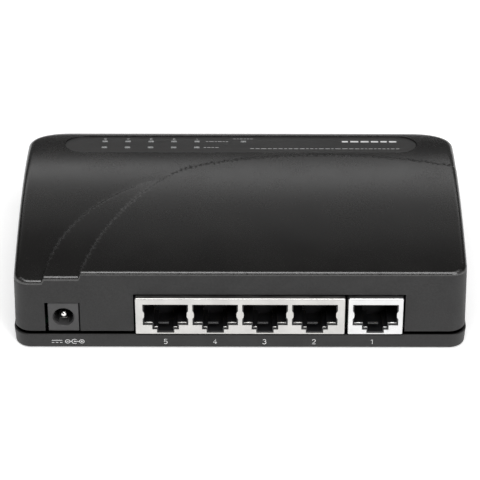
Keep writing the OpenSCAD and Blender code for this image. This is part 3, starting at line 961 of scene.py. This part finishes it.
def make_tray():
    """Shallow tray with a rounded underside, a lip inside the cover, posts and recesses."""
    outside = [(0.6, 0.4), (0.42, 0.42), (0.31, 0.5), (0.27, 0.62), (0.25, 1.2), (0.0, 4.7),
               (0.05, 4.85), (0.17, 4.95)]
    tray = loft([tray_ring(d, z) for d, z in outside], "tray")
    boolean(tray, loft([tray_ring(d, z) for d, z in ((4.0, 2.0), (3.3, 2.1), (3.1, 2.5),
                                                     (2.9, 6.0))], "hollow"))
    channel = loft([tray_ring(d, z) for d, z in ((0.5, 6.0), (0.62, 3.15), (0.8, 3.0),
                                                 (2.75, 3.0), (2.75, 6.0))],
                   "channel", close=True)
    boolean(tray, channel)
    lip = loft([tray_ring(d, z) for d, z in ((2.65, 1.6), (2.7, 7.7), (2.85, 7.9),
                                             (3.65, 7.9), (3.8, 7.7), (3.95, 1.6))],
               "lip", close=True)
    boolean(lip, box(-57, PORT_X[0] + SINGLE_W / 2 + 0.6, COVER_REAR - 3, COVER_REAR + 8,
                     4.05, 25))
    boolean(tray, lip, "UNION")
    for x, y in BOSSES:
        boolean(tray, lathe([(0, 1.5), (3.2, 1.5), (3.2, 5.75), (3.05, 5.9), (0, 5.9)],
                            (x, y, 0)), "UNION")
        boolean(tray, lathe([(0, -0.6), (3.15, -0.6), (3.1, 0.4), (2.9, 0.65), (2.9, 2.8),
                             (1.6, 2.8), (1.6, 11), (0, 11)], (x, y, 0)))
    for x, y in SCREW_POSTS:
        boolean(tray, lathe([(0, 1.5), (3.3, 1.5), (2.85, 2.5), (2.75, 4.05), (0, 4.05)],
                            (x, y, 0)), "UNION")
        boolean(tray, lathe([(0, 1.0), (1.1, 1.0), (1.1, 11), (0, 11)], (x, y, 0)))
    for x, y in FEET:
        boolean(tray, lathe([(0, -0.6), (5.4, -0.6), (5.35, 0.4), (5.2, 0.52), (5.2, 0.8),
                             (0, 0.8)], (x, y, 0), steps=56))
    boolean(tray, box(-25.2, 25.2, -15.2, 11.2, -0.6, 0.6))
    give(tray, TRAY)
    shade(tray, 38)
    tray.name = "shallow_tray"
    place(tray, "case", "black_tray", "base_tray")


def make_feet():
    """Four moulded rubber feet with a rounded rim and a shallow dished face."""
    parts = []
    for x, y in FEET:
        profile = [(0, 0.12), (3.2, 0.1), (3.7, 0.0), (4.4, 0.0), (4.75, 0.08), (4.93, 0.22),
                   (5.0, 0.45), (5.0, 0.8), (0, 0.8)]
        parts.append(lathe(profile, (x, y, 0), steps=56))
    feet = give(join("feet", parts), RUBBER)
    shade(feet, 50)
    feet.name = "moulded_feet"
    place(feet, "case", "foot_rubber", "rubber_feet")


def make_screws():
    """Pan-head screws with a cross recess and a threaded shank."""
    parts = []
    for x, y in BOSSES:
        profile = [(0, 0.9), (1.9, 0.92), (2.35, 1.08), (2.58, 1.4), (2.6, 2.6), (2.5, 2.78),
                   (1.2, 2.8)]
        z = 3.0
        while z < 10.4:
            profile += [(0.98, z), (1.2, z + 0.28), (0.98, z + 0.56)]
            z += 0.8
        profile += [(0.9, 11.1), (0.35, 11.7), (0, 11.78)]
        screw = lathe(profile, (x, y, 0), steps=36)
        for a in (20, 110):
            slot_cut = box(-1.55, 1.55, -0.33, 0.33, 0.4, 2.0)
            slot_cut.data.transform(Matrix.Rotation(math.radians(a), 4, "Z"))
            slot_cut.data.transform(Matrix.Translation((x * MM, y * MM, 0)))
            boolean(screw, slot_cut)
        parts.append(screw)
    screws = give(join("screws", parts), STEEL)
    shade(screws, 35)
    screws.name = "pan_head_screws"
    place(screws, "case", "case_screw_steel", "case_screws")


def make_label():
    """Paper label with rounded corners; its print is plain bars."""
    pts = []
    for cx, cy, start in ((23.5, 9.5, 0), (-23.5, 9.5, 90), (-23.5, -13.5, 180),
                          (23.5, -13.5, 270)):
        for i in range(9):
            a = math.radians(start + 90 * i / 8)
            pts.append((cx + 1.5 * math.cos(a), cy + 1.5 * math.sin(a)))
    label = give(prism(pts, 0.47, 0.6, "label"), LABEL)
    shade(label, 35, False)
    label.name = "paper_label"
    place(label, "case", "label_paper", "rating_label")
    bars = []
    rng = random.Random(5)
    for row in range(6):
        x = -22.0
        y = 6.5 - 3.2 * row
        end = 4 + rng.random() * 12 if row else -4
        while x < end:
            w = 1.2 + rng.random() * 3.4
            h = 0.9 if row else 1.5
            bars.append(box(x, x + w, y - h / 2, y + h / 2, 0.445, 0.49, round_edge=0.02,
                            segments=1))
            x += w + 0.7
    print_bars = give(join("label_bars", bars), ink_material("label_ink", 0.06))
    print_bars.name = "label_print"
    place(print_bars, "case", "label_paper")


def port_outline(x, grow=0.0, bulge=True):
    """Stepped opening of a port with the slight bulge of a spring tab at each side."""
    z = PORT_Z
    right = [(6.4, 3.55), (6.4, 1.35)]
    if bulge:
        right += [(6.36, 1.2), (6.16, 0.98), (6.02, 0.7), (5.98, 0.2), (5.98, -0.5),
                  (6.04, -0.9), (6.2, -1.14), (6.36, -1.3)]
    right += [(6.4, -1.5), (6.4, -3.55), (3.75, -3.55), (3.75, -5.05), (2.45, -5.05),
              (2.45, -6.2)]
    pts = [(x + a + (grow if a > 0 else 0), z + b) for a, b in right]
    pts += [(x - a - grow, z + b) for a, b in reversed(right)]
    return pts


def facing(outline, y0, y1):
    """Prism along Y over an outline in X and Z."""
    n = len(outline)
    verts = [(x, y0, z) for x, z in outline] + [(x, y1, z) for x, z in outline]
    faces = [tuple(range(n)), tuple(range(2 * n - 1, n - 1, -1))]
    faces += [(i, n + i, n + (i + 1) % n, (i + 1) % n) for i in range(n)]
    obj = new_object("cut", verts, faces)
    return face_outwards(obj)


def make_shield(name, x, w, ports, material, slot, node):
    """Folded tin-plate shell: rounded bends, stepped openings, and a tab in each step."""
    shell = box(x - w / 2, x + w / 2, SHIELD_Y, SHIELD_Y + JACK_D, JACK_Z, JACK_Z + JACK_H,
                round_edge=0.42, segments=4)
    inner = box(x - w / 2 + SHEET, x + w / 2 - SHEET, SHIELD_Y + SHEET,
                SHIELD_Y + JACK_D - SHEET, JACK_Z - 3, JACK_Z + JACK_H - SHEET,
                round_edge=0.16, segments=2)
    boolean(shell, box(x - w, x + w, SHIELD_Y - 2, SHIELD_Y + JACK_D + 2, JACK_Z - 1,
                       JACK_Z + 0.02))
    boolean(shell, inner)
    tabs = []
    for px in ports:
        cut = facing(port_outline(px), SHIELD_Y - 1, SHIELD_Y + 1)
        boolean(shell, cut)
        for s in (-1, 1):
            for a, b, z in ((3.5, 6.0, -3.2), (2.2, 3.3, -4.7)):
                x0, x1 = sorted((px + s * a, px + s * b))
                tabs.append(box(x0, x1, SHIELD_Y + 0.5, SHIELD_Y + 0.9, PORT_Z + z - 0.02,
                                PORT_Z + z + 0.3, round_edge=0.06, segments=1))
    for y in (SHIELD_Y + 5.2, SHIELD_Y + 11.6):
        for s in (-1, 1):
            tabs.append(box(x + s * (w / 2 - 0.2) - 0.12, x + s * (w / 2 - 0.2) + 0.12, y, y + 1.4,
                            JACK_Z - 2.2, JACK_Z + 0.6, round_edge=0.05, segments=1))
    bm = bmesh.new()
    bm.from_mesh(shell.data)
    for t in tabs:
        bm.from_mesh(t.data)
        bpy.data.objects.remove(t)
    bm.to_mesh(shell.data)
    bm.free()
    give(shell, material)
    shade(shell, 40)
    shell.name = name
    place(shell, "case", slot, node)


def make_latch_ledges():
    """The moulded ledge inside each latch slot that a plug's latch snaps behind."""
    parts = []
    for px in PORT_X:
        parts.append(box(px - 2.15, px + 0.95, SHIELD_Y + 1.5, SHIELD_Y + 2.3, PORT_Z - 4.25,
                         PORT_Z - 3.72, round_edge=0.2, segments=4))
        parts.append(box(px - 2.4, px + 2.4, SHIELD_Y + 0.45, SHIELD_Y + 5.4, PORT_Z - 6.15,
                         PORT_Z - 5.95, round_edge=0.05, segments=1))
    ledges = give(join("ledges", parts), GLOSS_NYLON)
    shade(ledges, 50)
    ledges.name = "latch_ledges"
    place(ledges, "case", "four_port_black_nylon")


def make_power_socket():
    """Socket with a square front, a round barrel and a stepped rim round the bore."""
    front = box(DC_X - 4.35, DC_X + 4.35, DC_Y, DC_Y + 3.4, JACK_Z, JACK_Z + 9.65,
                round_edge=0.24, segments=3)
    block = box(DC_X - 4.05, DC_X + 4.05, DC_Y + 3, DC_Y + 14, JACK_Z, JACK_Z + 6.4,
                round_edge=0.3, segments=2)
    boolean(front, block, "UNION")
    barrel = lathe([(0, 3.0), (3.99, 3.0), (3.99, 13.6), (3.7, 13.98), (0, 13.98)],
                   (DC_X, DC_Y, DC_Z), "Y", 56)
    boolean(front, barrel, "UNION")
    bore = lathe([(0, -1), (3.12, -1), (3.12, -0.02), (3.05, 0.1), (2.85, 0.4), (2.85, 10),
                  (0, 10)], (DC_X, DC_Y, DC_Z), "Y", 64)
    boolean(front, bore)
    give(front, SOCKET)
    shade(front, 40)
    front.name = "inlet_body"
    place(front, "case", "power_socket_nylon", "power_socket_body")


def make_power_pin():
    pin = lathe([(0, 1.0), (0.32, 1.03), (0.62, 1.14), (0.85, 1.34), (0.97, 1.62), (1.0, 1.95),
                 (1.0, 12.9), (0.0, 12.9)], (DC_X, DC_Y, DC_Z), "Y", 40)
    give(pin, CHROME)
    shade(pin, 40)
    pin.name = "inlet_pin"
    place(pin, "case", "power_pin_nickel", "power_socket_pin")


def make_bore_liner():
    """Blackened sleeve in the bore, with the notch that lets the leaf spring through."""
    liner = lathe([(2.83, 0.9), (2.83, 9.6), (2.6, 9.6), (2.6, 1.15), (2.7, 0.9)],
                  (DC_X, DC_Y, DC_Z), "Y", 56)
    boolean(liner, box(DC_X - 1.5, DC_X + 1.5, DC_Y + 0.5, DC_Y + 11, DC_Z - 4, DC_Z - 1.4))
    give(liner, GLOSS_NYLON)
    shade(liner, 40)
    liner.name = "inlet_bore_liner"
    place(liner, "case", "power_socket_nylon")


# ---- printed marks ----


def stroke(points, width):
    """Round pen stroke through points in X and Y, which marks() then flattens to ink."""
    curve = bpy.data.curves.new("stroke", "CURVE")
    curve.dimensions = "3D"
    spline = curve.splines.new("POLY")
    spline.points.add(len(points) - 1)
    for p, (x, y) in zip(spline.points, points, strict=True):
        p.co = (x, y, 0, 1)
    curve.bevel_depth = width / 2
    curve.bevel_resolution = 2
    curve.use_fill_caps = True
    obj = add_object("stroke", curve)
    bpy.context.view_layer.update()
    mesh = bpy.data.meshes.new_from_object(obj.evaluated_get(
        bpy.context.evaluated_depsgraph_get()))
    bpy.data.objects.remove(obj)
    return mesh


def arc_points(cx, cy, rx, ry, a0, a1, n=12):
    return [(cx + rx * math.cos(math.radians(a0 + (a1 - a0) * i / n)),
             cy + ry * math.sin(math.radians(a0 + (a1 - a0) * i / n))) for i in range(n + 1)]


def digit_strokes(d):
    """A plain numeral as pen strokes in a box 0.6 wide and 1 high, centred on X."""
    if d == 1:
        return [[(-0.16, 0.76), (0.06, 0.95), (0.06, 0.05)]]
    if d == 2:
        return [arc_points(0, 0.7, 0.24, 0.25, 170, -35) + [(-0.24, 0.05), (0.26, 0.05)]]
    if d == 3:
        return [arc_points(-0.02, 0.72, 0.22, 0.23, 160, -80)
                + arc_points(-0.02, 0.28, 0.26, 0.25, 80, -160)]
    if d == 4:
        return [[(0.1, 0.05), (0.1, 0.95), (-0.28, 0.3), (0.28, 0.3)]]
    return [[(0.22, 0.95), (-0.17, 0.95), (-0.22, 0.52)]
            + arc_points(-0.02, 0.33, 0.26, 0.28, 125, -145)]


def marks(name, strokes, pen, height, material, to_world, slot):
    """Ink marks: strokes are (x, y, scale, points); to_world turns plan millimetres into place."""
    bm = bmesh.new()
    for x, y, size, points in strokes:
        mesh = stroke([(x + px * size, y + py * size) for px, py in points], pen)
        mesh.transform(Matrix.Diagonal((1, 1, height / pen, 1)))
        bm.from_mesh(mesh)
        bpy.data.meshes.remove(mesh)
    for v in bm.verts:
        v.co = Vector(to_world(*v.co)) * MM
    bmesh.ops.recalc_face_normals(bm, faces=bm.faces)
    obj = from_bmesh(name, bm, [material])
    for p in obj.data.polygons:
        p.use_smooth = True
    place(obj, "case", slot)


def on_tray(x, z, lift):
    """A point of the tray's port side, which leans out a little towards its rim."""
    return x, TRAY_REAR + 0.02 + TRAY_LEAN * (TRAY_RIM - z) - lift, z


def make_tray_marks():
    strokes = []
    for n, px in enumerate(PORT_X, 1):
        x = px - (0.7 if n == 1 else 0.1)
        for points in digit_strokes(n):
            strokes.append((x, 1.5, 1.85, points))
    marks("port_numbers", strokes, 0.36, 0.05, INK_LIGHT, on_tray, "black_tray")
    c = DC_X + 0.8
    symbol = [(c - 4.4, 2.8, 1, [(0, 0), (3.0, 0)])]
    for i in range(3):
        symbol.append((c - 4.4 + 1.15 * i, 2.0, 1, [(0, 0), (0.7, 0)]))
    r = 0.66
    minus, plus, middle = c + 0.1, c + 4.1, c + 2.1
    symbol += [
        (middle, 2.4, 1, arc_points(0, 0, 0.82, 0.82, 50, 310)),
        (middle, 2.4, 1, arc_points(0, 0, 0.16, 0.16, 0, 360, 8)),
        (middle, 2.4, 1, [(0.1, 0), (1.35, 0)]),
        (middle, 2.4, 1, [(-1.35, 0), (-0.82, 0)]),
        (plus, 2.4, 1, arc_points(0, 0, r, r, 0, 360)),
        (plus, 2.4, 1, [(-0.3, 0), (0.3, 0)]),
        (plus, 2.4, 1, [(0, -0.3), (0, 0.3)]),
        (minus, 2.4, 1, arc_points(0, 0, r, r, 0, 360)),
        (minus, 2.4, 1, [(-0.3, 0), (0.3, 0)]),
    ]
    marks("direct_current_symbol", symbol, 0.32, 0.05, INK_LIGHT, on_tray, "black_tray")


def on_film(x, y, lift):
    return x, y, film_top(y) + lift


def dashes(x0, x1, y, seed, low=0.5, high=1.3, gap=0.35):
    """A line of short bars that stands in for printed words."""
    rng = random.Random(seed)
    out = []
    x = x0
    while x < x1 - 0.3:
        w = min(low + rng.random() * (high - low), x1 - x)
        out.append((x, y, 1, [(0, 0), (w, 0)]))
        x += w + gap
    return out


def make_inlay_marks():
    """Lamp numbers, which read from the lamp side, and bars in place of the words."""
    numbers = []
    for n, x in enumerate(reversed(LAMP_X), 1):
        for points in digit_strokes(n):
            numbers.append((x, 29.95, -1.3, points))
    marks("lamp_numbers", numbers, 0.24, 0.04, INK_DIM, on_film, "inlay_film")
    words = dashes(-11.0, -6.4, ROW_SPEED, 3) + dashes(-10.4, -3.5, ROW_LINK, 8)
    words += dashes(-2.2, 3.9, 29.6, 4)
    words += dashes(2.9, 47.2, 22.0, 11, 0.6, 1.6, 0.5)
    marks("lamp_captions", words, 0.42, 0.04, INK_DIM, on_film, "inlay_film")
    title = dashes(30.3, 46.6, 27.4, 21, 1.6, 2.8, 0.7)
    marks("title_bars", title, 1.15, 0.05, INK_LIGHT, on_film, "inlay_film")


def finish_cad_nodes():
    """Materials for the CAD nodes whose own shape is shown."""
    looks = {
        "circuit_board": BOARD, "board_screws": STEEL,
        "four_port_housing": NYLON, "single_port_housing": NYLON,
        "port_terminals": SOLDER, "power_socket_spring": SPRING,
        "power_socket_terminals": SOLDER, "switch_chip": EPOXY, "switch_chip_leads": SOLDER,
        "four_port_transformer": TRANSFORMER, "single_port_transformer": TRANSFORMER,
        "transformer_leads": SOLDER, "crystal": CAN, "electrolytic_capacitors": SLEEVE,
        "power_inductor": FERRITE, "voltage_regulator": EPOXY, "protection_diode": EPOXY,
        "chip_capacitors": CERAMIC, "chip_resistors": GLAZE, "status_lamps": LENS,
    }
    for n in range(1, 6):
        looks[f"port_{n}_contacts"] = GOLD
    for name, material in looks.items():
        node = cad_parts[name]
        node.data.materials.clear()
        node.data.materials.append(material)


# ---- stage ----

CAMERA_TILT = 34.5
CAMERA_TURN = 0.15
CAMERA_AIM = (-0.13, SHIELD_Y, 12.0)
CAMERA_BACK = 658.8
CAMERA_RISE = 21.40
CAMERA_LENS = 176.25
LIGHT_AWAY = 1300
FLOOR_HALF = 2500


def make_floor():
    r = FLOOR_HALF
    floor = new_object("floor", [(-r, -r, 0), (r, -r, 0), (r, r, 0), (-r, r, 0)], [(0, 1, 2, 3)])
    m, nt, s = base_material("pale_floor")
    tint(nt, s, 300, (0.88, 0.88, 0.88), (0.92, 0.92, 0.92))
    s.inputs["Roughness"].default_value = 0.9
    s.inputs["Specular IOR Level"].default_value = 0.1
    s.inputs["Emission Color"].default_value = (1, 1, 1, 1)
    s.inputs["Emission Strength"].default_value = 0.38
    give(floor, m)


def area_light(name, place_mm, target_mm, size, size_y, power):
    data = bpy.data.lights.new(name, "AREA")
    data.shape = "RECTANGLE"
    data.size = size * MM
    data.size_y = size_y * MM
    data.energy = power
    light = add_object(name, data)
    start, end = Vector(place_mm) * MM, Vector(target_mm) * MM
    light.location = start
    light.rotation_euler = (end - start).to_track_quat("-Z", "Y").to_euler()


def make_lights():
    for name, elevation, height, power in (("back_softbox", 33, 220, 2.4),
                                           ("back_panel", 47, 460, 1.05)):
        e = math.radians(elevation)
        area_light(name, (0, LIGHT_AWAY * math.cos(e), LIGHT_AWAY * math.sin(e)), (0, 0, 20),
                   1900, height, power)
    area_light("overhead", (0, -700, 1500), (0, 0, 0), 1500, 1100, 24)
    area_light("front_right", (700, -1300, 620), (0, 0, 20), 420, 420, 7)
    world = bpy.data.worlds.new("studio")
    bpy.context.scene.world = world
    world.use_nodes = True
    world.node_tree.nodes["Background"].inputs[0].default_value = (1, 1, 1, 1)
    world.node_tree.nodes["Background"].inputs[1].default_value = 0.05
    bpy.context.scene.view_settings.view_transform = "Standard"


def make_camera():
    tilt = math.radians(CAMERA_TILT)
    forward = Vector((0, math.cos(tilt), -math.sin(tilt)))
    up = Vector((0, math.sin(tilt), math.cos(tilt)))
    start = (Vector(CAMERA_AIM) - forward * CAMERA_BACK + up * CAMERA_RISE) * MM
    turn = Matrix.Rotation(math.radians(CAMERA_TURN), 4, "Z")
    data = bpy.data.cameras.new("view")
    data.sensor_width = 36
    data.lens = CAMERA_LENS
    data.clip_start = 0.01
    data.clip_end = 20
    camera = add_object("view", data)
    axes = Matrix((Vector((1, 0, 0)), up, -forward)).transposed().to_4x4()
    camera.matrix_world = turn @ (Matrix.Translation(start) @ axes)
    bpy.context.scene.camera = camera


make_camera()
make_lights()
make_floor()
finish_cad_nodes()
make_cover()
make_inlay()
make_light_pipes()
make_tray()
make_feet()
make_screws()
make_label()
make_shield("four_port_shell", 0, GANG_W, PORT_X[1:], TIN_WARM, "four_port_shield_tin",
            "four_port_shield")
make_shield("single_port_shell", PORT_X[0], SINGLE_W, PORT_X[:1], TIN_BRIGHT,
            "single_port_shield_tin", "single_port_shield")
make_latch_ledges()
make_power_socket()
make_power_pin()
make_bore_liner()
make_tray_marks()
make_inlay_marks()
